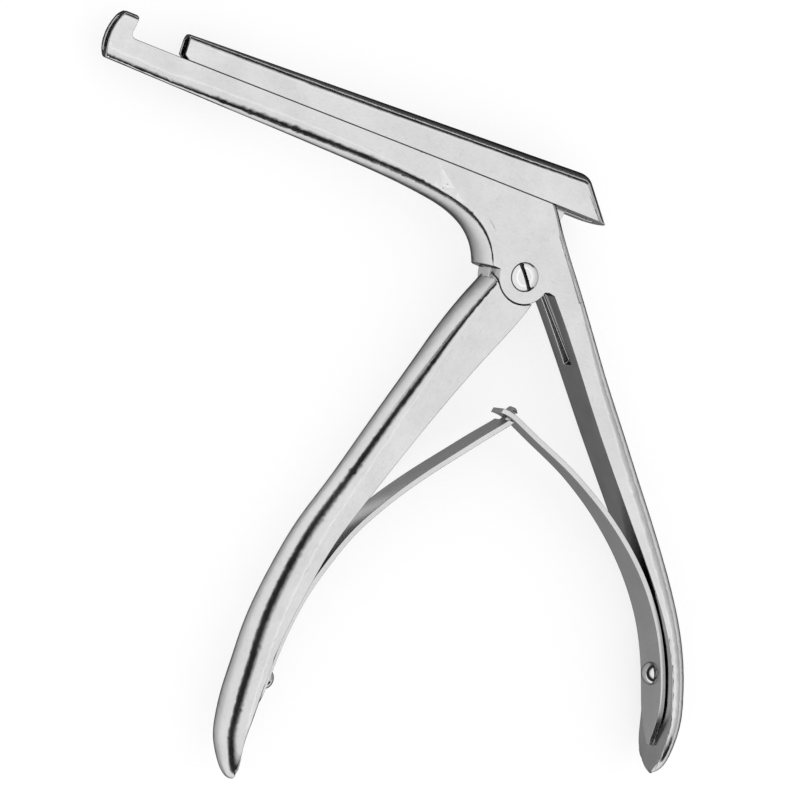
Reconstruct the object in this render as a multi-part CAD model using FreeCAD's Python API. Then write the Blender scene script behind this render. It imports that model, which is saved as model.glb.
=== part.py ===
import FreeCAD, Part
import math
import os

Vector = FreeCAD.Vector
os.makedirs("parts", exist_ok=True)

# The part lies on its side. X runs along the shaft with the tip toward -X.
# Y points from the handles to the slider. Z is the thickness, with the screw head on top.
# Everything is drawn about the middle plane and lifted so the lower cheek lies on Z = 0.

# driving dimensions, mm and degrees
BODY_THICK = 11.8
PARTING_Y = 15.8
TIP_X = -99.4
FOOT_THICK = 4.3
PIN_HEIGHT = 19.3
REST_LEAN = 7.4
SQUEEZE = 32.5

# the fork swings from its rest lean to the squeezed lean and takes the slider with it
SQUEEZED_LEAN = SQUEEZE - REST_LEAN
SLIDE_TRAVEL = PIN_HEIGHT * (math.tan(math.radians(REST_LEAN)) + math.tan(math.radians(SQUEEZED_LEAN)))
FOOT_INNER_X = TIP_X + FOOT_THICK
CLOSED_GAP = 0.4
SLIDER_FRONT_X = FOOT_INNER_X + CLOSED_GAP + SLIDE_TRAVEL

# longer than the tool from the pivot to its tip, for trimming cuts
TRIM = 1.5 * abs(TIP_X)

# clearances, mm
RUN_CLEAR = 0.05
SIDE_CLEAR = 0.08
SEAT_CLEAR = 0.15
SLOT_CLEAR = 0.3
SLIDE_CLEAR = 0.05

HALF = BODY_THICK / 2
RAIL_HALF = HALF - 0.02
CROWN_FLAT = 0.5

# the body is forged a little over its thickness and its cheeks are ground flat
FORGED_EXTRA = 0.04
GROUND_LOW_Y = -30.0

# the lever shoulder stops a little below the step under the body
STEP_Y = -0.25
SHOULDER_Y = -0.95

# pivot sizes
BOSS_R = 5.5
HUB_R = 6.2
SCREW_HEAD_R = 2.85
SCREW_SHANK_R = 2.1
SCREW_THREAD_R = 1.7
HEAD_SINK = 1.8
HEAD_DOME = 0.45
DRIVER_SLOT_HALF = 0.34
DRIVER_SLOT_TURN = 129

# tongue and drive pin sizes
TONGUE_HALF = 1.9
ARM_TOP_HALF = 3.0
ARM_ROOT_HALF = 4.4
ARM_TOP_R = PIN_HEIGHT + 2.3
PIN_R = 1.25
PIN_PLAY = 0.2

# spring sizes
LEAF_THICK = 1.1
RIVET_DEPTH = 3.2
RIVET_LIFT = 0.05
DOME_R = 2.35
FRONT_DOME_H = 2.7
REAR_DOME_H = 1.8
RIVET_R = 1.2


def unit(x, y):
    length = math.hypot(x, y)
    return Vector(x / length, y / length, 0)


def turned(x, y, angle_deg):
    a = math.radians(angle_deg)
    return x * math.cos(a) - y * math.sin(a), x * math.sin(a) + y * math.cos(a)


# rounded-back section: flat inner side, two flat cheeks, quarter-ellipse corners to a narrow crown
def back_section(crown, outward, half, round_depth, reach):
    up = Vector(0, 0, 1)
    crown_half = min(CROWN_FLAT, half * 0.25)
    inner = crown - outward * reach
    cheek = crown - outward * round_depth
    points = {
        "inner_top": inner + up * half,
        "cheek_top": cheek + up * half,
        "corner_top": crown + up * half,
        "crown_top": crown + up * crown_half,
        "crown_low": crown - up * crown_half,
        "corner_low": crown - up * half,
        "cheek_low": cheek - up * half,
        "inner_low": inner - up * half,
    }
    edges = [
        Part.makeLine(points["inner_low"], points["inner_top"]),
        Part.makeLine(points["inner_top"], points["cheek_top"]),
        quarter_round(points["cheek_top"], points["corner_top"], points["crown_top"]),
        Part.makeLine(points["crown_top"], points["crown_low"]),
        quarter_round(points["crown_low"], points["corner_low"], points["cheek_low"]),
        Part.makeLine(points["cheek_low"], points["inner_low"]),
    ]
    return Part.Wire(edges)


# share of the way to the corner that makes a cubic curve follow a quarter ellipse
ROUND_SHARE = 0.5523


def quarter_round(start, corner, end):
    leave = start + (corner - start) * ROUND_SHARE
    arrive = end + (corner - end) * ROUND_SHARE
    curve = Part.BezierCurve()
    curve.setPoles([start, leave, arrive, end])
    return curve.toShape()


def loft(sections):
    return Part.makeLoft(sections, True, False)


# slopes for a smooth curve through values that never overshoots them
def smooth_slopes(runs, values):
    rises = [(values[i + 1] - values[i]) / runs[i] for i in range(len(runs))]
    slopes = [rises[0]]
    for i in range(1, len(runs)):
        if rises[i - 1] * rises[i] <= 0:
            slopes.append(0.0)
        else:
            slopes.append(2 * rises[i - 1] * rises[i] / (rises[i - 1] + rises[i]))
    slopes.append(rises[-1])
    return slopes


def station_runs(stations):
    return [math.hypot(b[0] - a[0], b[1] - a[1]) for a, b in zip(stations, stations[1:])]


# rows at the given places on a smooth curve through a few measured stations
def read_stations(stations, places):
    runs = station_runs(stations)
    starts = [sum(runs[:i]) for i in range(len(runs) + 1)]
    columns = list(zip(*stations))
    slopes = [smooth_slopes(runs, column) for column in columns]
    spaced = []
    for place in places:
        i = 0
        while i < len(runs) - 1 and place > starts[i + 1]:
            i += 1
        t = (place - starts[i]) / runs[i]
        row = []
        for column, slope in zip(columns, slopes):
            bend = (2 * t ** 3 - 3 * t ** 2 + 1) * column[i] + (3 * t ** 2 - 2 * t ** 3) * column[i + 1]
            bend += runs[i] * ((t ** 3 - 2 * t ** 2 + t) * slope[i] + (t ** 3 - t ** 2) * slope[i + 1])
            row.append(bend)
        spaced.append(row)
    return spaced


# evenly spaced stations, so lofts don't ripple
def even_stations(stations, count):
    total = sum(station_runs(stations))
    return read_stations(stations, [total * n / count for n in range(count + 1)])


# stations that crowd toward the tip, where half width, rounding and depth run out as an ellipse
def tip_stations(stations, count, tip_length):
    total = sum(station_runs(stations))
    places = [total * math.sin(math.radians(90 * n / count)) for n in range(count)]
    places.append(total - 0.05)
    rows = read_stations(stations, places)
    for row, place in zip(rows, places):
        before_tip = max(0, 1 - (total - place) / tip_length)
        share = math.sqrt(1 - before_tip ** 2)
        for column in (4, 5, 6):
            row[column] *= share
    return rows


# solid plate between two heights from a closed outline of points
def plate(points, low, high):
    corners = [Vector(x, y, low) for x, y in points]
    corners.append(corners[0])
    face = Part.Face(Part.makePolygon(corners))
    return face.extrude(Vector(0, 0, high - low))


def disc(x, y, radius, low, high):
    return Part.makeCylinder(radius, high - low, Vector(x, y, low), Vector(0, 0, 1))


def box(x0, x1, y0, y1, z0, z1):
    return Part.makeBox(x1 - x0, y1 - y0, z1 - z0, Vector(x0, y0, z0))


# everything past one height or one place along the shaft, for trimming
def above(y):
    return box(-TRIM, TRIM, y, y + TRIM, -TRIM, TRIM)


def below(y):
    return box(-TRIM, TRIM, y - TRIM, y, -TRIM, TRIM)


def ahead_of(x):
    return box(x - TRIM, x, -TRIM, TRIM, -TRIM, TRIM)


# half width of shaft and slider along the shaft, easing into the full body width, so both stay flush
WIDE_X = -20.0
SLIM_X = -84.0
TIP_HALF = 1.9


def shaft_half(x):
    part = min(max((WIDE_X - x) / (WIDE_X - SLIM_X), 0), 1)
    return RAIL_HALF - (RAIL_HALF - TIP_HALF) * (1.35 * part ** 1.25 - 0.35 * part ** 2)


# height of the shaft's underside at the tip, and the straight nose behind it
SHAFT_LOW = 10.35
NOSE_END_X = -88.0
NOSE_END_LOW = 10.17
NOSE_ROUND = 3.4
NOSE_REACH = 7.0

# spans of the lofts: enough to follow the curves without ripples
RAIL_SPANS = 14
HANDLE_SPANS = 18
BAR_SPANS = 6
LEAF_SPANS = 16


# lower shaft and the front edge of the body, as one rounded rail
def front_rail():
    stations = [
        (NOSE_END_X, NOSE_END_LOW, 0, -1, NOSE_ROUND, NOSE_REACH),
        (-76, 9.98, 0, -1, 3.6, 7.0),
        (-62, 9.75, 0, -1, 3.8, 7.4),
        (-44, 9.4, 0, -1, 3.4, 7.6),
        (-32, 9.0, -0.03, -1, 2.9, 8.0),
        (-24.4, 8.35, -0.1, -1, 2.6, 8.0),
        (-18.9, 7.55, -0.25, -1, 2.3, 7.5),
        (-14.3, 5.95, -0.55, -1, 2.1, 7.0),
        (-10.8, 3.5, -1, -0.85, 1.8, 6.8),
        (-8.75, 0.8, -1, -0.48, 1.4, 6.2),
        (-7.55, -2.2, -1, -0.28, 1.2, 5.6),
    ]
    sections = []
    for x, y, nx, ny, depth, reach in even_stations(stations, RAIL_SPANS):
        half = shaft_half(x) + FORGED_EXTRA
        sections.append(back_section(Vector(x, y, 0), unit(nx, ny), half, depth, reach))
    return loft(sections)


# straight front end of the shaft, as far as the tip
def nose():
    end = Vector(NOSE_END_X, NOSE_END_LOW, 0)
    section = back_section(end, Vector(0, -1, 0), TIP_HALF + FORGED_EXTRA, NOSE_ROUND, NOSE_REACH)
    return Part.Face(section).extrude(Vector(TIP_X - NOSE_END_X, SHAFT_LOW - NOSE_END_LOW, 0))


# rear edge of the body and the whole rear handle, as one rounded rail
REAR_TIP_LENGTH = 11.8
REAR_STATIONS = [
    # crown x, crown y, outward x, outward y, half width, rounding depth, reach
    (-1.0, 19.6, 0.775, 0.632, RAIL_HALF + FORGED_EXTRA, 2.6, 8.0),
    (4.6, 13.1, 0.775, 0.632, RAIL_HALF + FORGED_EXTRA, 2.6, 8.0),
    (11.05, 5.2, 0.775, 0.632, RAIL_HALF + FORGED_EXTRA, 2.7, 7.2),
    (16.9, -1.9, 0.772, 0.636, RAIL_HALF + FORGED_EXTRA, 3.0, 6.7),
    (25.0, -11.9, 0.765, 0.644, 5.6, 3.5, 6.3),
    (31.6, -19.6, 0.76, 0.65, 5.4, 3.8, 6.3),
    (38.6, -27.9, 0.765, 0.644, 5.3, 4.1, 6.0),
    (45.1, -35.6, 0.775, 0.632, 5.4, 4.3, 5.65),
    (50.2, -41.95, 0.79, 0.613, 5.8, 4.4, 5.3),
    (53.8, -46.8, 0.81, 0.586, 6.4, 4.35, 5.05),
    (57.35, -52.3, 0.845, 0.535, 7.1, 4.2, 4.8),
    (60.6, -58.2, 0.895, 0.446, 7.7, 4.15, 4.65),
    (64.0, -67.0, 0.955, 0.296, 8.0, 4.0, 4.5),
    (65.3, -72.8, 0.985, 0.17, 8.0, 3.8, 4.2),
    (65.5, -77.4, 1.0, 0.02, 8.0, 3.6, 4.0),
    (65.15, -80.8, 0.96, -0.25, 8.0, 3.6, 4.0),
    (63.9, -82.9, 0.8, -0.6, 8.0, 3.6, 4.0),
]


def rear_rail():
    sections = []
    for x, y, nx, ny, half, depth, reach in tip_stations(REAR_STATIONS, HANDLE_SPANS, REAR_TIP_LENGTH):
        sections.append(back_section(Vector(x, y, 0), unit(nx, ny), half, depth, reach))
    return loft(sections)


# flat middle of the body, hidden at its edges by the two rails
def body_core():
    outline = [
        (-25, PARTING_Y + 1), (-24.5, 12.0), (-17.5, 10.8), (-12.0, 8.8), (-8.0, 5.6),
        (-6.6, 1.8), (-5.4, STEP_Y), (0, -3), (6.2, -1.2), (11.5, -2.0), (13.0, -0.8),
        (8.0, 5.4), (1.6, 13.2), (-1.2, PARTING_Y + 1),
    ]
    return plate(outline, -HALF - 2 * FORGED_EXTRA, HALF + 2 * FORGED_EXTRA)


def arm_outline(grow, low_r, high_r, angle, side):
    half_low = ARM_ROOT_HALF + grow
    half_high = ARM_TOP_HALF + grow
    return turned(side * half_low, low_r, angle), turned(side * half_high, high_r, angle)


# slot between the cheeks, as wide as the swing of the drive arm needs
def tongue_slot():
    half = TONGUE_HALF + SIDE_CLEAR
    rear_low, rear_high = arm_outline(SLOT_CLEAR, 2.0, ARM_TOP_R, -REST_LEAN, 1)
    front_low, front_high = arm_outline(SLOT_CLEAR, 2.0, ARM_TOP_R, SQUEEZED_LEAN, -1)
    swing = plate([rear_low, rear_high, front_high, front_low], -half, half)
    hub = disc(0, 0, HUB_R + SLOT_CLEAR, -half, half)
    tail = plate([(2.0, -6.0), (7.6, -0.4), (18.4, -11.6), (15.6, -14.4)], -half, half)
    return swing.fuse(hub).fuse(tail)


# up-turned foot at the tip, oval when seen from the front
FOOT_TOP_Y = PARTING_Y + 4.7
FOOT_TAIL = 7.4
FILLET_LENGTH = 1.4
FILLET_HEIGHT = 0.66
LIP = 0.4
WINDOW_HALF = 0.75
WINDOW_DEPTH = 3.0


def foot():
    half = TIP_HALF + FORGED_EXTRA
    length = FOOT_THICK + FILLET_LENGTH + LIP
    block = Part.makeBox(length, FOOT_TOP_Y - PARTING_Y, 2 * half, Vector(TIP_X, PARTING_Y, -half))
    top_edges = []
    for edge in block.Edges:
        span = edge.BoundBox
        if abs(span.XLength - length) < 1e-6 and span.YMin > PARTING_Y + 1:
            top_edges.append(edge)
    return block.makeFillet(half * 0.72, top_edges)


# everything around the side view of the foot: bowed front, rolled lip and a hollow down to the shaft
def foot_surround():
    low = SHAFT_LOW - 0.45
    top = FOOT_TOP_Y + 0.1
    front_low = Vector(TIP_X + 1.1, low, 0)
    front_mid = Vector(TIP_X, (low + top) / 2 - 0.1, 0)
    front_top = Vector(TIP_X + 1.8, top, 0)
    lip_top = Vector(FOOT_INNER_X + LIP - 0.7, top, 0)
    lip_mid = Vector(FOOT_INNER_X + LIP - 0.15, top - 0.25, 0)
    lip_low = Vector(FOOT_INNER_X + LIP, top - 0.8, 0)
    inner = Vector(FOOT_INNER_X, PARTING_Y + FILLET_HEIGHT, 0)
    hollow = Vector(FOOT_INNER_X + 0.35 * FILLET_LENGTH, PARTING_Y + 0.3 * FILLET_HEIGHT, 0)
    deck = Vector(FOOT_INNER_X + FILLET_LENGTH, PARTING_Y, 0)
    deck_end = Vector(TIP_X + FOOT_TAIL, PARTING_Y, 0)
    low_end = Vector(TIP_X + FOOT_TAIL, low, 0)
    profile = [
        Part.Arc(front_low, front_mid, front_top).toShape(),
        Part.makeLine(front_top, lip_top),
        Part.Arc(lip_top, lip_mid, lip_low).toShape(),
        Part.makeLine(lip_low, inner),
        Part.Arc(inner, hollow, deck).toShape(),
        Part.makeLine(deck, deck_end),
        Part.makeLine(deck_end, low_end),
        Part.makeLine(low_end, front_low),
    ]
    side = Part.Face(Part.Wire(profile))
    side.translate(Vector(0, 0, -HALF))
    keep = side.extrude(Vector(0, 0, BODY_THICK))
    around = box(TIP_X - 1, deck_end.x, low - 1, top + 1, -HALF + 1, HALF - 1)
    return around.cut(keep)


# narrow upright window in the front of the foot
def foot_window():
    low = SHAFT_LOW + 2.05
    high = FOOT_TOP_Y - 2.0
    start = TIP_X - 1
    length = WINDOW_DEPTH + 1
    slot = box(start, start + length, low, high, -WINDOW_HALF, WINDOW_HALF)
    low_end = Part.makeCylinder(WINDOW_HALF, length, Vector(start, low, 0), Vector(1, 0, 0))
    high_end = Part.makeCylinder(WINDOW_HALF, length, Vector(start, high, 0), Vector(1, 0, 0))
    return slot.fuse(low_end).fuse(high_end)


# keyway: narrow neck over a wider head, with two windows where the keys drop in
KEY_NECK_HALF = 0.7
KEY_HEAD_HALF = 1.2
KEY_NECK_Y = 14.5
KEY_FOOT_Y = 13.1
KEY_LENGTH = 10.0
KEY_STARTS = (-66.0, -34.0)
GROOVE_END_X = -10.0


def key_groove():
    clear = 0.1
    start = KEY_STARTS[0] - SLIDE_TRAVEL - 0.7
    neck = box(start, GROOVE_END_X, KEY_NECK_Y - 0.5, PARTING_Y + 1, -KEY_NECK_HALF - clear, KEY_NECK_HALF + clear)
    head_half = KEY_HEAD_HALF + clear
    head = box(start, GROOVE_END_X, KEY_FOOT_Y - clear, KEY_NECK_Y + clear, -head_half, head_half)
    groove = neck.fuse(head)
    for key in KEY_STARTS:
        window_x = key + KEY_LENGTH + 1.5
        window = box(window_x, window_x + KEY_LENGTH + 1.0, KEY_FOOT_Y - clear, PARTING_Y + 1, -head_half, head_half)
        groove = groove.fuse(window)
    return groove


def frame_forging():
    rail = front_rail().fuse(nose())
    rail = rail.cut(below(STEP_Y))
    rail = rail.cut(above(PARTING_Y))
    tip = foot()
    rear = rear_rail().cut(above(PARTING_Y))
    core = body_core().cut(above(PARTING_Y))
    boss = disc(0, 0, BOSS_R, -HALF - 2 * FORGED_EXTRA, HALF + 2 * FORGED_EXTRA)
    body = core.fuse([rail, rear, boss, tip])
    body = body.cut(foot_surround())
    body = body.cut(box(-TRIM, TRIM, GROUND_LOW_Y, TRIM, HALF, TRIM))
    body = body.cut(box(-TRIM, TRIM, GROUND_LOW_Y, TRIM, -TRIM, -HALF))
    body = body.cut(tongue_slot())
    body = body.cut(foot_window())
    body = body.cut(key_groove())
    body = body.cut(disc(0, 0, SCREW_THREAD_R, -HALF - 1, 0))
    body = body.cut(disc(0, 0, SCREW_SHANK_R, 0, HALF + 1))
    body = body.cut(disc(0, 0, SCREW_HEAD_R + RUN_CLEAR, HALF - HEAD_SINK, HALF + 1))
    body = body.cut(rear_leaf_blank())
    body = body.cut(rivet_hole(REAR_RIVET))
    return body.removeSplitter()


# slider sizes: the two ends of its top line, the rear corner and the raked end
SLIDER_FRONT_TOP = 20.85
SLIDER_REAR_TOP = 24.15
SLIDER_BEND_X = 5.4
CORNER_R = 3.4
RAKE = 50.0
TAIL_ROUND = 2.6
CUP_HALF = 1.35
CUP_WALL = 0.75


def slider_top(x):
    rise = (SLIDER_REAR_TOP - SLIDER_FRONT_TOP) / (SLIDER_BEND_X - SLIDER_FRONT_X)
    return SLIDER_FRONT_TOP + rise * (x - SLIDER_FRONT_X)


# tapered front of the slider
def slider_bar():
    stations = [(SLIDER_FRONT_X, 0, 1.7), (-62, 0, 2.3), (-44, 0, 2.6), (WIDE_X, 0, TAIL_ROUND)]
    sections = []
    for x, unused, depth in even_stations(stations, BAR_SPANS):
        top = slider_top(x)
        sections.append(back_section(Vector(x, top, 0), slider_normal(), shaft_half(x), depth, top - PARTING_Y + 1))
    return loft(sections)


def slider_normal():
    return unit(SLIDER_FRONT_TOP - SLIDER_REAR_TOP, SLIDER_BEND_X - SLIDER_FRONT_X)


# rear of the slider: straight, then its rounded top carried round the corner and down the raked end
def slider_tail():
    normal = slider_normal()
    along = Vector(normal.y, -normal.x, 0)
    start = Vector(WIDE_X, slider_top(WIDE_X), 0)
    length = (SLIDER_BEND_X - WIDE_X) / along.x
    section = Part.Face(back_section(start, normal, RAIL_HALF, TAIL_ROUND, 10.0))
    straight = section.extrude(along * length)
    bend = start + along * length
    lip = Part.Face(back_section(bend, normal, RAIL_HALF, TAIL_ROUND, 3.2))
    centre = bend - normal * CORNER_R
    turn = RAKE - math.degrees(math.atan2(-normal.x, normal.y))
    corner = lip.revolve(centre, Vector(0, 0, -1), turn)
    end_face = lip.copy()
    end_face.rotate(centre, Vector(0, 0, -1), turn)
    rake = math.radians(RAKE)
    end = end_face.extrude(Vector(math.cos(rake), -math.sin(rake), 0) * 12)
    core = plate([(4, 14), (4, centre.y), (centre.x + 0.6, centre.y + 0.5), (13.0, 14)], -RAIL_HALF, RAIL_HALF)
    return straight.fuse([corner, end, core])


def slider():
    low = PARTING_Y + SLIDE_CLEAR
    bar = slider_bar().fuse(slider_tail())
    bar = bar.cut(below(low))
    cup_y = slider_top(SLIDER_FRONT_X) - CUP_WALL - CUP_HALF
    cup_start = SLIDER_FRONT_X - 1
    cup = box(cup_start, cup_start + 8, low - 1, cup_y, -CUP_HALF, CUP_HALF)
    cup = cup.fuse(Part.makeCylinder(CUP_HALF, 8, Vector(cup_start, cup_y, 0), Vector(1, 0, 0)))
    bar = bar.cut(cup)
    # the lower front edge is bevelled to clear the hollow at the root of the foot
    front = SLIDER_FRONT_X
    bevel = [(front - 1, low - 1), (front + 1.3, low - 1), (front + 1.3, low), (front, low + 0.85), (front - 1, low + 0.85)]
    bar = bar.cut(plate(bevel, -HALF, HALF))
    slot_half = TONGUE_HALF + 0.2
    slot_top = ARM_TOP_R + 0.4
    slot = box(-1.2, 9.8, low - 1, slot_top, -slot_half, slot_half)
    for x in (-1.2, 9.8):
        slot = slot.fuse(Part.makeCylinder(slot_half, slot_top - low + 1, Vector(x, low - 1, 0), Vector(0, 1, 0)))
    bar = bar.cut(slot)
    for start in KEY_STARTS:
        neck = box(start, start + KEY_LENGTH, KEY_NECK_Y - 0.2, low + 0.3, -KEY_NECK_HALF, KEY_NECK_HALF)
        head = box(start, start + KEY_LENGTH, KEY_FOOT_Y, KEY_NECK_Y, -KEY_HEAD_HALF, KEY_HEAD_HALF)
        bar = bar.fuse([neck, head])
    bar = bar.cut(disc(pin_rest_x(), PIN_HEIGHT, PIN_R, -HALF - 1, 3.7))
    return bar.removeSplitter()


# the pin starts a little ahead of the fork centre, which halves the side play it needs
def pin_rest_x():
    return PIN_HEIGHT * math.tan(math.radians(REST_LEAN)) + 0.12


def drive_pin():
    pin = disc(pin_rest_x(), PIN_HEIGHT, PIN_R, -RAIL_HALF, 3.6)
    rims = [e for e in pin.Edges if isinstance(e.Curve, Part.Circle)]
    return pin.makeChamfer(0.15, rims)


# front handle, from its shoulder under the body to its tip
FRONT_TIP_LENGTH = 19.0
FRONT_STATIONS = [
    # inner x, inner y, outward x, outward y, half width, rounding depth, full depth
    (3.4, 3.0, -1.0, 0.1, RAIL_HALF, 1.7, 9.1),
    (2.8, -6.2, -0.955, 0.296, RAIL_HALF, 1.7, 9.8),
    (1.0, -10.9, -0.93, 0.37, RAIL_HALF, 1.9, 10.1),
    (-4.35, -23.5, -0.927, 0.376, 5.65, 2.7, 9.05),
    (-10.1, -38.4, -0.938, 0.348, 5.4, 3.7, 8.0),
    (-15.4, -53.3, -0.945, 0.328, 5.35, 4.4, 7.2),
    (-19.3, -64.9, -0.963, 0.269, 5.75, 5.2, 7.0),
    (-21.65, -76.6, -0.984, 0.178, 6.1, 5.6, 6.75),
    (-23.05, -86.6, -0.995, 0.1, 6.4, 5.4, 6.05),
    (-23.25, -96.4, -1.0, 0.0, 6.6, 5.0, 5.5),
    (-22.9, -106.3, -0.997, -0.08, 6.8, 4.9, 5.35),
    (-21.7, -111.4, -0.985, -0.17, 6.8, 4.9, 5.3),
    (-20.8, -114.6, -0.96, -0.28, 6.8, 4.9, 5.3),
]


def front_handle_blank():
    sections = []
    for x, y, nx, ny, half, depth, reach in tip_stations(FRONT_STATIONS, HANDLE_SPANS, FRONT_TIP_LENGTH):
        outward = unit(nx, ny)
        crown = Vector(x, y, 0) + outward * reach
        sections.append(back_section(crown, outward, half, depth, reach))
    return loft(sections)


# hub and drive arm between the body cheeks, forked at the top for the drive pin
def drive_tongue():
    hub = disc(0, 0, HUB_R, -TONGUE_HALF, TONGUE_HALF)
    waist = PARTING_Y - 2.8
    end = ARM_TOP_R + 2
    outline = [
        (-ARM_ROOT_HALF, 0), (ARM_ROOT_HALF, 0), (ARM_ROOT_HALF - 0.1, 4), (ARM_TOP_HALF, waist),
        (ARM_TOP_HALF, end), (-ARM_TOP_HALF, end), (-ARM_TOP_HALF, waist), (-ARM_ROOT_HALF + 0.1, 4),
    ]
    arm = plate(outline, -TONGUE_HALF, TONGUE_HALF)
    arm = arm.common(disc(0, 0, ARM_TOP_R, -TONGUE_HALF, TONGUE_HALF))
    notch_half = PIN_R + PIN_PLAY
    notch_y = PIN_HEIGHT - 0.1
    notch = box(-notch_half, notch_half, notch_y, end, -HALF, HALF)
    notch = notch.fuse(disc(0, notch_y, notch_half, -HALF, HALF))
    arm = arm.cut(notch)
    arm.rotate(Vector(0, 0, 0), Vector(0, 0, 1), -REST_LEAN)
    return hub.fuse(arm)


def front_handle():
    blank = front_handle_blank()
    blank = blank.cut(box(-20, 20, SHOULDER_Y, 20, -10, 10))
    blank = blank.cut(disc(0, 0, BOSS_R + SEAT_CLEAR, -10, 10))
    lever = blank.fuse(drive_tongue())
    lever = lever.cut(disc(0, 0, SCREW_SHANK_R + RUN_CLEAR, -10, 10))
    lever = lever.cut(front_leaf_blank())
    lever = lever.cut(rivet_hole(FRONT_RIVET))
    return lever.removeSplitter()


def dome(radius, height, base, axis):
    ball = (radius * radius + height * height) / (2 * height)
    sphere = Part.makeSphere(ball, base - axis * (ball - height))
    keep = Part.makeCylinder(radius, height + 1, base, axis)
    return sphere.common(keep)


def pivot_screw():
    up = Vector(0, 0, 1)
    head = disc(0, 0, SCREW_HEAD_R, HALF - HEAD_SINK, HALF + 0.1)
    head = head.fuse(dome(SCREW_HEAD_R, HEAD_DOME, Vector(0, 0, HALF + 0.1), up))
    shank = disc(0, 0, SCREW_SHANK_R, -TONGUE_HALF - SIDE_CLEAR, HALF - HEAD_SINK)
    thread = disc(0, 0, SCREW_THREAD_R, -HALF, -TONGUE_HALF - SIDE_CLEAR)
    screw = head.fuse([shank, thread])
    slot = box(-4, 4, -DRIVER_SLOT_HALF, DRIVER_SLOT_HALF, HALF - 0.35, HALF + 2)
    slot.rotate(Vector(0, 0, 0), up, DRIVER_SLOT_TURN)
    return screw.cut(slot).removeSplitter()


# flat strip along a path, its width set at each place
def strip(places, thick):
    sections = []
    places = even_stations(places, LEAF_SPANS)
    for i, (x, y, half) in enumerate(places):
        before = places[max(i - 1, 0)]
        after = places[min(i + 1, LEAF_SPANS)]
        along = unit(after[0] - before[0], after[1] - before[1])
        side = Vector(-along.y, along.x, 0) * (thick / 2)
        up = Vector(0, 0, half)
        centre = Vector(x, y, 0)
        corners = [centre - side - up, centre + side - up, centre + side + up, centre - side + up]
        corners.append(corners[0])
        sections.append(Part.makePolygon(corners))
    return loft(sections)


FRONT_LEAF = [
    (-22.8, -100.6, 1.6), (-22.83, -99.6, 3.4), (-22.85, -97.6, 5.0), (-22.82, -93.5, 5.2), (-22.73, -89.5, 5.25),
    (-22.35, -84.0, 5.25), (-21.25, -76.6, 5.2), (-19.0, -68.7, 5.05), (-15.7, -60.25, 4.85), (-9.75, -50.4, 4.5),
    (-4.83, -43.78, 4.3), (1.6, -36.0, 4.1), (6.2, -30.5, 3.95), (8.1, -28.4, 3.9), (9.15, -26.95, 3.85),
    (9.4, -25.6, 3.8), (9.2, -24.3, 3.8),
]

REAR_LEAF = [
    (6.35, -26.3, 2.75), (8.2, -26.42, 2.7), (9.4, -26.65, 2.65), (11.4, -27.35, 2.6), (13.9, -28.4, 2.65),
    (18.85, -30.25, 2.85), (23.85, -32.2, 3.05), (28.9, -34.65, 3.35), (36.0, -38.85, 4.05), (43.2, -44.4, 4.7),
    (46.6, -47.7, 4.95), (50.4, -52.1, 5.1), (52.85, -55.6, 5.2), (55.7, -60.7, 5.3), (57.95, -65.9, 5.3),
    (59.3, -69.7, 4.9), (60.6, -73.9, 3.4), (61.4, -76.6, 1.8), (61.7, -77.6, 0.7),
]

# the front leaf's rounded head hooks through the window in the end of the rear leaf
HEAD_HALF = 3.0
HEAD_TOP_Y = -24.55
NECK_HALF = 1.25
NECK_LOW_Y = -27.65
NECK_HIGH_Y = -25.75
WINDOW_SPARE = 0.25

# place and outward direction of each domed screw head, on the free face of its leaf
FRONT_RIVET = (-22.82, -93.5, 1.0, -0.02)
REAR_RIVET = (57.1, -63.95, -0.92, -0.39)


def front_leaf_blank():
    return strip(FRONT_LEAF, LEAF_THICK)


def rear_leaf_blank():
    return strip(REAR_LEAF, LEAF_THICK)


def rivet_hole(place):
    x, y, nx, ny = place
    axis = unit(nx, ny)
    return Part.makeCylinder(RIVET_R, RIVET_DEPTH + LEAF_THICK, Vector(x, y, 0) - axis * RIVET_DEPTH, axis)


def front_leaf():
    leaf = front_leaf_blank().cut(rivet_hole(FRONT_RIVET))
    around_head = box(6, 13, NECK_LOW_Y, HEAD_TOP_Y + 2, -HALF, HALF)
    around_head = around_head.cut(
        Part.makeCylinder(HEAD_HALF, 9, Vector(5, HEAD_TOP_Y - HEAD_HALF, 0), Vector(1, 0, 0)))
    leaf = leaf.cut(around_head)
    leaf = leaf.cut(box(6, 13, NECK_LOW_Y, NECK_HIGH_Y, NECK_HALF, HALF))
    return leaf.cut(box(6, 13, NECK_LOW_Y, NECK_HIGH_Y, -HALF, -NECK_HALF))


def rear_leaf():
    leaf = rear_leaf_blank().cut(rivet_hole(REAR_RIVET))
    window_half = NECK_HALF + WINDOW_SPARE
    return leaf.cut(box(8.4, 10.25, -28.2, -25.0, -window_half, window_half))


def spring_screw(place, height):
    x, y, nx, ny = place
    axis = unit(nx, ny)
    centre = Vector(x, y, 0)
    rise = LEAF_THICK / 2 + RIVET_LIFT
    head = dome(DOME_R, height, centre + axis * rise, axis)
    shank = Part.makeCylinder(RIVET_R, RIVET_DEPTH + rise, centre - axis * RIVET_DEPTH, axis)
    return head.fuse(shank).removeSplitter()


def export(shape, name):
    shape.translate(Vector(0, 0, HALF))
    shape.exportStep("parts/" + name + ".step")


export(frame_forging(), "frame_forging")
export(slider(), "slider")
export(front_handle(), "front_handle")
export(pivot_screw(), "pivot_screw")
export(drive_pin(), "drive_pin")
export(front_leaf(), "front_leaf_spring")
export(rear_leaf(), "rear_leaf_spring")
export(spring_screw(FRONT_RIVET, FRONT_DOME_H), "front_spring_screw")
export(spring_screw(REAR_RIVET, REAR_DOME_H), "rear_spring_screw")
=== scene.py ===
import math

import bmesh
import bpy
from mathutils import Matrix, Vector


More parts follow.
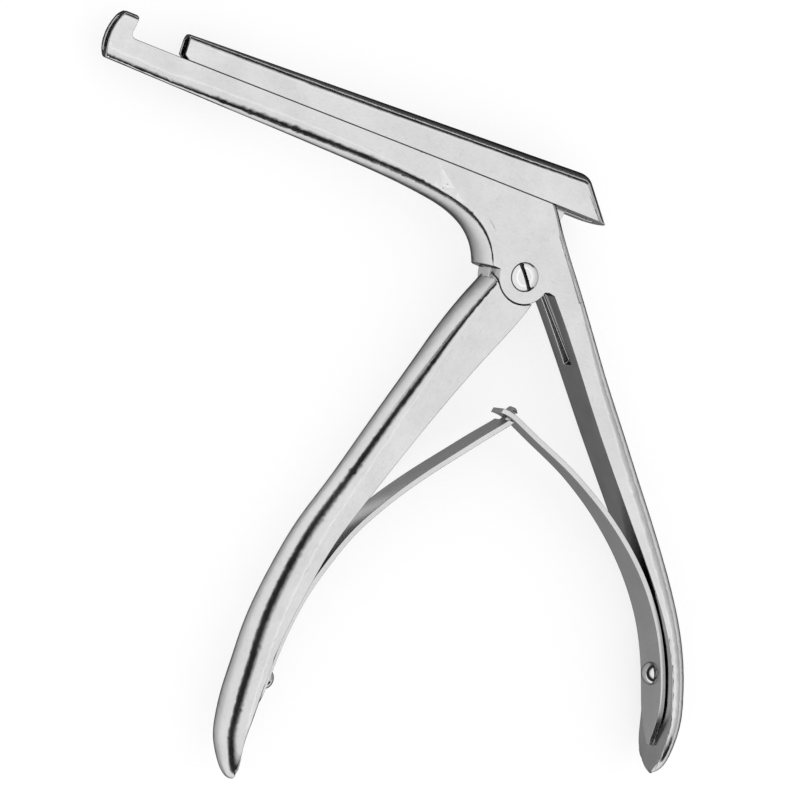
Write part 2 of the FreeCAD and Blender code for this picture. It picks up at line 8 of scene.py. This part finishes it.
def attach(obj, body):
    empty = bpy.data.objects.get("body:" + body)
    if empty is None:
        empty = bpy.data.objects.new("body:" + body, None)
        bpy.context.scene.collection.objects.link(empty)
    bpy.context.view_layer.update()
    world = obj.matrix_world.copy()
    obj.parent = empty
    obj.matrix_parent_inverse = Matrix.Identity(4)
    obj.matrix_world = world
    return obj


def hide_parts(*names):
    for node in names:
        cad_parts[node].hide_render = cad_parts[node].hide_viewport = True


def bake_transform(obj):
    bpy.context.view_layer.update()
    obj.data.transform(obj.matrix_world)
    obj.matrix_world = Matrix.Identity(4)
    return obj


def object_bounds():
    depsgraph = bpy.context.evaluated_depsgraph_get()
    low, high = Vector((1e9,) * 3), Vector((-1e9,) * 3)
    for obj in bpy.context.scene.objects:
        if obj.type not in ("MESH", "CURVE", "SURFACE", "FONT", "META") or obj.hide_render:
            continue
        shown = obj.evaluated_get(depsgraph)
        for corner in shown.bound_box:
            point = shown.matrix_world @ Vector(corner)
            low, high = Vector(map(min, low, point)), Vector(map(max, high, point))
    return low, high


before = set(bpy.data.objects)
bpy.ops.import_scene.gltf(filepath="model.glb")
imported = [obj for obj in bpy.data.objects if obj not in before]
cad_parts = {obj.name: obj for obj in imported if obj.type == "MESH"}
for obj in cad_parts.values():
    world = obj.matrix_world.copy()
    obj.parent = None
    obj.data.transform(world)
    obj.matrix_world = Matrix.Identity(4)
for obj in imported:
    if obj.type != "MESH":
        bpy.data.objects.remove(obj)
cad_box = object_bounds()

MM = 0.001

# driving values, in millimetres and degrees
HALF_THICK = 5.9
PHOTO_TILT = 21.2
CAMERA_SIDE = 22.0
CAMERA_RISE = 3.0
PIXELS_PER_MM = 5.0
FRAME_PIXELS = 800
PIVOT_PIXEL = (513.8, 275.85)
LENS = 1500.0
SENSOR = 36.0

# edges of the forged pieces are broken by hand, the springs' edges a little less
FORGING_EDGE = 0.20
SPRING_EDGE = 0.12
SCREW_EDGE = 0.07
SHARP_ANGLE = 24.0
FLAT_ANGLE = 0.03

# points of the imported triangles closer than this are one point, in millimetres
WELD = 0.002


# turns a direction across, up and towards the viewer of the photograph into the part's frame
def photo_direction(across, upward, outward):
    tilt = math.radians(PHOTO_TILT)
    x = across * math.cos(tilt) - upward * math.sin(tilt)
    y = across * math.sin(tilt) + upward * math.cos(tilt)
    return Vector((x, y, outward))


# camera

def place_camera():
    side = math.radians(CAMERA_SIDE)
    rise = math.radians(CAMERA_RISE)
    right = photo_direction(math.cos(side), 0, math.sin(side))
    nod = math.sin(rise)
    up = photo_direction(math.sin(side) * nod, math.cos(rise), -math.cos(side) * nod)
    back = right.cross(up)
    pivot = Vector((0, 0, HALF_THICK))
    across = (FRAME_PIXELS / 2 - PIVOT_PIXEL[0]) / PIXELS_PER_MM
    down = (FRAME_PIXELS / 2 - PIVOT_PIXEL[1]) / PIXELS_PER_MM
    target = pivot + right * across - up * down
    distance = LENS / SENSOR * FRAME_PIXELS / PIXELS_PER_MM
    place = (target + back * distance) * MM
    data = bpy.data.cameras.new("photo_camera")
    data.lens = LENS
    data.sensor_width = SENSOR
    data.clip_end = 60
    camera = bpy.data.objects.new("photo_camera", data)
    bpy.context.scene.collection.objects.link(camera)
    turn = Matrix((right, up, back)).transposed().to_4x4()
    camera.matrix_world = Matrix.Translation(place) @ turn
    bpy.context.scene.camera = camera


place_camera()


# shared shader groups

def new_group(name, inputs, outputs):
    group = bpy.data.node_groups.new(name, "ShaderNodeTree")
    for label, kind, value in inputs:
        socket = group.interface.new_socket(name=label, in_out="INPUT", socket_type=kind)
        if value is not None:
            socket.default_value = value
    for label, kind in outputs:
        group.interface.new_socket(name=label, in_out="OUTPUT", socket_type=kind)
    return group


def add_node(tree, kind, **settings):
    node = tree.nodes.new(kind)
    for name, value in settings.items():
        setattr(node, name, value)
    return node


def noise(tree, vector, scale, detail, roughness=0.5):
    node = add_node(tree, "ShaderNodeTexNoise")
    node.inputs["Scale"].default_value = scale
    node.inputs["Detail"].default_value = detail
    node.inputs["Roughness"].default_value = roughness
    tree.links.new(vector, node.inputs["Vector"])
    return node.outputs["Fac"]


def spread(tree, value, low, high, to_low, to_high):
    node = add_node(tree, "ShaderNodeMapRange")
    node.inputs["From Min"].default_value = low
    node.inputs["From Max"].default_value = high
    node.inputs["To Min"].default_value = to_low
    node.inputs["To Max"].default_value = to_high
    tree.links.new(value, node.inputs["Value"])
    return node.outputs["Result"]


def combine(tree, operation, first, second):
    node = add_node(tree, "ShaderNodeMath", operation=operation)
    for socket, value in zip(node.inputs, (first, second)):
        if isinstance(value, (int, float)):
            socket.default_value = value
        else:
            tree.links.new(value, socket)
    return node.outputs["Value"]


# fine satin grain: short hairlines one way over a soft cloudiness, as a matting wheel leaves them
def satin_grain_group():
    inputs = [("Vector", "NodeSocketVector", None)]
    outputs = [("Grain", "NodeSocketFloat"), ("Cloud", "NodeSocketFloat"), ("Fleck", "NodeSocketFloat")]
    group = new_group("satin_grain", inputs, outputs)
    start = add_node(group, "NodeGroupInput")
    end = add_node(group, "NodeGroupOutput")
    stretch = add_node(group, "ShaderNodeMapping")
    stretch.inputs["Scale"].default_value = (0.12, 1, 1)
    group.links.new(start.outputs["Vector"], stretch.inputs["Vector"])
    hairline = noise(group, stretch.outputs["Vector"], 5200, 3, 0.6)
    grit = noise(group, start.outputs["Vector"], 2600, 2, 0.5)
    hairline_part = combine(group, "MULTIPLY", hairline, 0.65)
    grit_part = combine(group, "MULTIPLY", grit, 0.35)
    grain = combine(group, "ADD", hairline_part, grit_part)
    cloud = noise(group, start.outputs["Vector"], 130, 4, 0.55)
    fleck = noise(group, start.outputs["Vector"], 900, 1, 0.5)
    group.links.new(grain, end.inputs["Grain"])
    group.links.new(cloud, end.inputs["Cloud"])
    group.links.new(spread(group, fleck, 0.62, 0.74, 0, 1), end.inputs["Fleck"])
    return group


# bare metal scuffed bright along its edges by use, together with a painted highlight: every sharp edge
# is lightened in colour
def edge_wear_and_highlight_group():
    inputs = [("Vector", "NodeSocketVector", None), ("Amount", "NodeSocketFloat", 1.0)]
    group = new_group("edge_wear_and_highlight", inputs, [("Wear_and_highlight", "NodeSocketFloat")])
    start = add_node(group, "NodeGroupInput")
    end = add_node(group, "NodeGroupOutput")
    shape = add_node(group, "ShaderNodeNewGeometry")
    edge = spread(group, shape.outputs["Pointiness"], 0.52, 0.60, 0, 1)
    patchy = spread(group, noise(group, start.outputs["Vector"], 420, 3, 0.6), 0.35, 0.65, 0.45, 1)
    worn_and_highlit = combine(group, "MULTIPLY", edge, patchy)
    # scuffing and painted highlight together: the edge mask lightens the colour
    group.links.new(combine(group, "MULTIPLY", worn_and_highlit, start.outputs["Amount"]), end.inputs["Wear_and_highlight"])
    return group


SATIN_GRAIN = satin_grain_group()
EDGE_WEAR_AND_HIGHLIGHT = edge_wear_and_highlight_group()


# materials

# the steel goes dark where it is seen nearly edge on, the springs less so
EDGE_TINT = 0.04
LEAF_EDGE_TINT = 0.60


# steel with a grain that runs at the given angle in the part's plane
def steel(name, tone, roughness, grain_angle, grain_depth, cloudiness, wear_and_highlight, edge_tint=EDGE_TINT):
    material = bpy.data.materials.new(name)
    material.use_nodes = True
    tree = material.node_tree
    shader = tree.nodes["Principled BSDF"]
    shader.inputs["Metallic"].default_value = 1.0
    shader.inputs["Specular Tint"].default_value = (edge_tint, edge_tint, edge_tint, 1)
    place = add_node(tree, "ShaderNodeTexCoord")
    along = add_node(tree, "ShaderNodeMapping")
    along.inputs["Rotation"].default_value = (0, 0, -math.radians(grain_angle))
    tree.links.new(place.outputs["Object"], along.inputs["Vector"])
    grain = add_node(tree, "ShaderNodeGroup", node_tree=SATIN_GRAIN)
    tree.links.new(along.outputs["Vector"], grain.inputs["Vector"])
    rubbed_and_highlit = add_node(tree, "ShaderNodeGroup", node_tree=EDGE_WEAR_AND_HIGHLIGHT)
    rubbed_and_highlit.inputs["Amount"].default_value = wear_and_highlight
    tree.links.new(place.outputs["Object"], rubbed_and_highlit.inputs["Vector"])

    shade = spread(tree, grain.outputs["Cloud"], 0.3, 0.7, tone - cloudiness, tone + cloudiness)
    fine = spread(tree, grain.outputs["Grain"], 0.35, 0.65, -0.025, 0.025)
    shade = combine(tree, "ADD", shade, fine)
    shade = combine(tree, "SUBTRACT", shade, combine(tree, "MULTIPLY", grain.outputs["Fleck"], 0.03))
    # painted highlight together with scuffing: the colour is lightened along sharp edges
    shade = combine(tree, "ADD", shade, combine(tree, "MULTIPLY", rubbed_and_highlit.outputs["Wear_and_highlight"], 0.12))
    colour = add_node(tree, "ShaderNodeCombineColor")
    tree.links.new(shade, colour.inputs["Red"])
    tree.links.new(shade, colour.inputs["Green"])
    tree.links.new(combine(tree, "MULTIPLY", shade, 1.008), colour.inputs["Blue"])
    tree.links.new(colour.outputs["Color"], shader.inputs["Base Color"])

    matt = spread(tree, grain.outputs["Cloud"], 0.3, 0.7, roughness - 0.04, roughness + 0.04)
    matt = combine(tree, "ADD", matt, spread(tree, grain.outputs["Grain"], 0.3, 0.7, -0.03, 0.03))
    matt = combine(tree, "SUBTRACT", matt, combine(tree, "MULTIPLY", rubbed_and_highlit.outputs["Wear_and_highlight"], 0.10))
    tree.links.new(matt, shader.inputs["Roughness"])

    bump = add_node(tree, "ShaderNodeBump")
    bump.inputs["Strength"].default_value = grain_depth
    bump.inputs["Distance"].default_value = 0.00001
    tree.links.new(grain.outputs["Grain"], bump.inputs["Height"])
    tree.links.new(bump.outputs["Normal"], shader.inputs["Normal"])
    return material


SHAFT_STEEL = steel("shaft_satin_steel", 0.70, 0.17, 0, 0.3, 0.04, 0.6)
LEVER_STEEL = steel("lever_satin_steel", 0.70, 0.17, 71, 0.3, 0.04, 0.6)
SLIDER_STEEL = steel("slider_satin_steel", 0.70, 0.17, 0, 0.3, 0.04, 0.6)
LEAF_STEEL = steel("leaf_spring_steel", 0.66, 0.24, 45, 0.3, 0.03, 0.5, LEAF_EDGE_TINT)
SCREW_STEEL = steel("screw_polished_steel", 0.78, 0.10, 0, 0.12, 0.015, 0.4)
PIN_STEEL = steel("pin_ground_steel", 0.70, 0.18, 0, 0.2, 0.02, 0.5)
# painted shade for the screw's driver slot, near-black where the slot lies in shadow
SLOT_PAINTED_SHADE_STEEL = steel("slot_painted_shade_steel", 0.08, 0.45, 0, 0.2, 0.02, 0.0)


# pieces

def copy_node(node_name, piece_name):
    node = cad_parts[node_name]
    mesh = node.data.copy()
    mesh.name = piece_name
    mesh.materials.clear()
    piece = bpy.data.objects.new(piece_name, mesh)
    bpy.context.scene.collection.objects.link(piece)
    return piece


# the ground cheek runs level over the body and then slopes evenly into the narrowing shaft
SLOPE_START = (-17.0, HALF_THICK)
SLOPE_END = (-30.0, 5.43)
GROUND_LOW_Y = -30.0


def cheek_limit(x):
    part = min(max((SLOPE_START[0] - x) / (SLOPE_START[0] - SLOPE_END[0]), 0), 1)
    return SLOPE_START[1] - (SLOPE_START[1] - SLOPE_END[1]) * part


def level_cheeks(skin):
    for cut in range(int(SLOPE_END[0]), int(SLOPE_START[0]) + 1):
        parts = skin.verts[:] + skin.edges[:] + skin.faces[:]
        place = (cut * MM, 0, 0)
        bmesh.ops.bisect_plane(skin, geom=parts, dist=0.0000001, plane_co=place, plane_no=(1, 0, 0))
    for vert in skin.verts:
        x, y, z = vert.co / MM
        if x < SLOPE_END[0] or y < GROUND_LOW_Y:
            continue
        limit = cheek_limit(x)
        height = z - HALF_THICK
        if abs(height) > limit:
            vert.co.z = (HALF_THICK + math.copysign(limit, height)) * MM


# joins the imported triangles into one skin, clears flat faces of needless edges, rounds sharp ones
def finish_edges(piece, edge_round, material, tip_y=None):
    mesh = piece.data
    skin = bmesh.new()
    skin.from_mesh(mesh)
    if piece.name == "frame_body":
        level_cheeks(skin)
    bmesh.ops.remove_doubles(skin, verts=skin.verts, dist=WELD * MM)
    flat = math.radians(FLAT_ANGLE)
    bmesh.ops.dissolve_limit(skin, angle_limit=flat, verts=skin.verts, edges=skin.edges)
    limit = math.radians(SHARP_ANGLE)
    sharp = [e for e in skin.edges if len(e.link_faces) == 2 and e.calc_face_angle(0) > limit]
    if tip_y is not None:
        sharp = [e for e in sharp if min(v.co.y for v in e.verts) > tip_y * MM]
    bmesh.ops.bevel(skin, geom=sharp, offset=edge_round * MM, offset_type="OFFSET", segments=2,
                    profile=0.5, affect="EDGES", clamp_overlap=False, material=-1)
    for face in skin.faces:
        face.smooth = True
    skin.to_mesh(mesh)
    skin.free()
    mesh.materials.append(material)
    weighted = piece.modifiers.new("flat_cheeks", "WEIGHTED_NORMAL")
    weighted.keep_sharp = True
    weighted.weight = 100


# painted shade: the pivot screw's driver slot is given a near-black steel where shadow falls in it
DRIVER_SLOT_HALF = 0.38
DRIVER_SLOT_TURN = 129.0


def paint_slot_shade(piece):
    turn = math.radians(DRIVER_SLOT_TURN)
    piece.data.materials.append(SLOT_PAINTED_SHADE_STEEL)
    for face in piece.data.polygons:
        x, y, z = face.center / MM
        # faces inside the slot take the painted shade
        if z > HALF_THICK and abs(x * math.sin(turn) - y * math.cos(turn)) < DRIVER_SLOT_HALF:
            face.material_index = 1


PIECE_FINISH = {
    # node: piece, body, edge rounding, material, record slot
    "frame_forging": ("frame_body", "frame", FORGING_EDGE, SHAFT_STEEL, "satin_steel"),
    "slider": ("slider_bar", "slider_unit", FORGING_EDGE, SLIDER_STEEL, "satin_steel"),
    "front_handle": ("lever_body", "lever", FORGING_EDGE, LEVER_STEEL, "satin_steel"),
    "pivot_screw": ("pivot_screw_head", "frame", SCREW_EDGE, SCREW_STEEL, "screw_steel"),
    "drive_pin": ("drive_pin_ground", "slider_unit", SCREW_EDGE, PIN_STEEL, "screw_steel"),
    "front_spring_screw": ("front_spring_dome", "lever", SCREW_EDGE, SCREW_STEEL, "screw_steel"),
    "rear_spring_screw": ("rear_spring_dome", "frame", SCREW_EDGE, SCREW_STEEL, "screw_steel"),
}


# the small rounded ends of the handles keep their own edges
HANDLE_TIP_Y = {"frame_forging": -82.0, "front_handle": -113.6}


def make_rigid_pieces():
    for node, (name, body, edge, material, slot) in PIECE_FINISH.items():
        piece = copy_node(node, name)
        finish_edges(piece, edge, material, HANDLE_TIP_Y.get(node))
        if node == "pivot_screw":
            paint_slot_shade(piece)
        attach(piece, body)
        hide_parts(node)


def make_leaf(node, name):
    piece = copy_node(node, name)
    finish_edges(piece, SPRING_EDGE, LEAF_STEEL)
    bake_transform(piece)
    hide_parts(node)


make_rigid_pieces()
make_leaf("front_leaf_spring", "front_leaf")
make_leaf("rear_leaf_spring", "rear_leaf")


# studio

def glowing(name, brightness):
    material = bpy.data.materials.new(name)
    material.use_nodes = True
    tree = material.node_tree
    tree.nodes.clear()
    light = add_node(tree, "ShaderNodeEmission")
    light.inputs["Color"].default_value = (1, 1, 1, 1)
    light.inputs["Strength"].default_value = brightness
    out = add_node(tree, "ShaderNodeOutputMaterial")
    tree.links.new(light.outputs["Emission"], out.inputs["Surface"])
    return material


# one value where a ray comes from the camera or from a reflection or a glass
def shown_ray(tree):
    path = add_node(tree, "ShaderNodeLightPath")
    seen = combine(tree, "MAXIMUM", path.outputs["Is Camera Ray"], path.outputs["Is Glossy Ray"])
    return combine(tree, "MAXIMUM", seen, path.outputs["Is Transmission Ray"])


# colour of the floor and how brightly it and the world are seen
FLOOR_COLOUR = 0.40
FLOOR_SEEN = 0.72
WORLD_LIGHT = 0.75
WORLD_SEEN = 1.0


# floor that shows pale and keeps a soft shadow
def floor_material():
    material = bpy.data.materials.new("studio_floor")
    material.use_nodes = True
    tree = material.node_tree
    tree.nodes.clear()
    matt = add_node(tree, "ShaderNodeBsdfDiffuse")
    matt.inputs["Color"].default_value = (FLOOR_COLOUR, FLOOR_COLOUR, FLOOR_COLOUR, 1)
    glow = add_node(tree, "ShaderNodeEmission")
    glow.inputs["Color"].default_value = (FLOOR_SEEN, FLOOR_SEEN, FLOOR_SEEN, 1)
    tree.links.new(shown_ray(tree), glow.inputs["Strength"])
    both = add_node(tree, "ShaderNodeAddShader")
    tree.links.new(matt.outputs["BSDF"], both.inputs[0])
    tree.links.new(glow.outputs["Emission"], both.inputs[1])
    out = add_node(tree, "ShaderNodeOutputMaterial")
    tree.links.new(both.outputs["Shader"], out.inputs["Surface"])
    return material


# a flat mesh from points given in metres
def flat_card(name, points, faces, material):
    mesh = bpy.data.meshes.new(name)
    shape = bmesh.new()
    corners = [shape.verts.new(point) for point in points]
    for face in faces:
        shape.faces.new([corners[i] for i in face])
    shape.to_mesh(mesh)
    shape.free()
    card = bpy.data.objects.new(name, mesh)
    bpy.context.scene.collection.objects.link(card)
    mesh.materials.append(material)
    return card


def make_floor():
    low = cad_box[0][2]
    size = 30
    corners = [(-size, -size, low), (size, -size, low), (size, size, low), (-size, size, low)]
    flat_card("studio_floor", corners, [(0, 1, 2, 3)], floor_material())


# even light from all round, white where it is seen
def make_world():
    world = bpy.data.worlds.new("studio_world")
    bpy.context.scene.world = world
    world.use_nodes = True
    tree = world.node_tree
    tree.nodes.clear()
    light = add_node(tree, "ShaderNodeBackground")
    light.inputs["Color"].default_value = (1, 1, 1, 1)
    light.inputs["Strength"].default_value = WORLD_LIGHT
    seen = add_node(tree, "ShaderNodeBackground")
    seen.inputs["Color"].default_value = (1, 1, 1, 1)
    seen.inputs["Strength"].default_value = WORLD_SEEN
    mix = add_node(tree, "ShaderNodeMixShader")
    tree.links.new(shown_ray(tree), mix.inputs["Fac"])
    tree.links.new(light.outputs["Background"], mix.inputs[1])
    tree.links.new(seen.outputs["Background"], mix.inputs[2])
    out = add_node(tree, "ShaderNodeOutputWorld")
    tree.links.new(mix.outputs["Shader"], out.inputs["Surface"])


# only reflections see a flag: it shades neither the floor nor the view
def reflect_only(thing):
    thing.visible_camera = False
    thing.visible_diffuse = False
    thing.visible_shadow = False
    thing.visible_transmission = False


# glow that grows from one place to another along a direction given in the part's frame
def graded_glow(name, direction, start, end, low, high):
    material = glowing(name, 1.0)
    tree = material.node_tree
    place = add_node(tree, "ShaderNodeTexCoord")
    along = add_node(tree, "ShaderNodeVectorMath", operation="DOT_PRODUCT")
    along.inputs[1].default_value = direction
    tree.links.new(place.outputs["Object"], along.inputs[0])
    grade = spread(tree, along.outputs["Value"], start, end, low, high)
    light = [node for node in tree.nodes if node.bl_idname == "ShaderNodeEmission"][0]
    tree.links.new(grade, light.inputs["Strength"])
    return material


# band between two rings of points, centre and height given in the photo's directions
def ring_band(name, material, low_ring, high_ring, first=0, last=360):
    steps = 48
    points = []
    faces = []
    for centre, radius, height in (low_ring, high_ring):
        for i in range(steps + 1):
            turn = math.radians(first + (last - first) * i / steps)
            across = centre[0] + radius * math.cos(turn)
            upward = centre[1] + radius * math.sin(turn)
            points.append(photo_direction(across, upward, height))
    for i in range(steps):
        faces.append((i, i + 1, steps + 2 + i, steps + 1 + i))
    return flat_card(name, points, faces, material)


# the surround is grey at the table, dark above and lightens upwards; grey opening on the right
SURROUND_RADIUS = 1.3
DARK_LOW = 0.20
DARK_TOP = 0.70
GREY_TOP = 1.15
OPENING = (-32, 26)


def make_surround():
    low_grey = graded_glow("low_grey_flag", (0, 0, 1), 0.0, DARK_LOW, 0.25, 0.02)
    black = glowing("black_flag", 0.02)
    fading = graded_glow("fading_flag", (0, 0, 1), DARK_TOP, GREY_TOP, 0.02, 0.85)
    grey = graded_glow("grey_side_flag", (0, 0, 1), 0.0, GREY_TOP, 0.45, 0.85)
    first = OPENING[1]
    last = 360 + OPENING[0]
    foot_ring = ((0, 0), SURROUND_RADIUS, 0.0)
    low_ring = ((0, 0), SURROUND_RADIUS, DARK_LOW)
    mid_ring = ((0, 0), SURROUND_RADIUS, DARK_TOP)
    top_ring = ((0, 0), SURROUND_RADIUS * 0.9, GREY_TOP)
    reflect_only(ring_band("low_surround", low_grey, foot_ring, low_ring, first, last))
    reflect_only(ring_band("dark_surround", black, low_ring, mid_ring, first, last))
    reflect_only(ring_band("fading_surround", fading, mid_ring, top_ring, first, last))
    reflect_only(ring_band("grey_side", grey, foot_ring, top_ring, OPENING[0], OPENING[1]))


# cards on the table that the steel mirrors, each a little above the last so that none coincide
CARD_LIFT = 0.0001
HANDLE_SHADE_CARD = [(0, -2), (-6, -30), (-17, -62), (-21, -90), (-20, -116),
               (12, -118), (64, -88), (62, -62), (44, -34), (12, -2)]
JAW_CARD = [(-108, 0), (-66, 0), (-66, 34), (-108, 34)]
UPPER_CARD = [(-108, 26), (75, 26), (75, 110), (-108, 110)]


def make_card(name, outline, lifts, shade):
    height = cad_box[0][2] + lifts * CARD_LIFT
    points = [(x * MM, y * MM, height) for x, y in outline]
    reflect_only(flat_card(name, points, [tuple(range(len(points)))], shade))


# painted shade: the grey card between the handles stands for the floor's shade there as the steel
# mirrors it; dark beside the jaws and above the slider
def make_table_cards():
    # painted shade of the floor between the handles, darker towards the pivot
    graded_shade = graded_glow("handle_shade_card", (0, 1, 0), -0.11, -0.01, 0.50, 0.30)
    make_card("handle_shade_card", HANDLE_SHADE_CARD, 1, graded_shade)
    make_card("jaw_card", JAW_CARD, 2, glowing("jaw_card", 0.12))
    make_card("upper_card", UPPER_CARD, 3, glowing("upper_card", 0.10))


# softbox ring round the direction in which the cheeks mirror the camera
RING_CENTRE = (0.48, -0.05)
RING_OUTER = 0.54
RING_INNER = 0.44
RING_HEIGHT = 1.19
RING_STRENGTH = 1.25


def make_ring_light():
    bright = glowing("ring_light", RING_STRENGTH)
    outer = (RING_CENTRE, RING_OUTER, RING_HEIGHT)
    inner = (RING_CENTRE, RING_INNER, RING_HEIGHT)
    ring = ring_band("ring_softbox", bright, outer, inner)
    ring.visible_camera = False


make_world()
make_floor()
make_surround()
make_table_cards()
make_ring_light()
bpy.context.scene.view_settings.view_transform = "Standard"
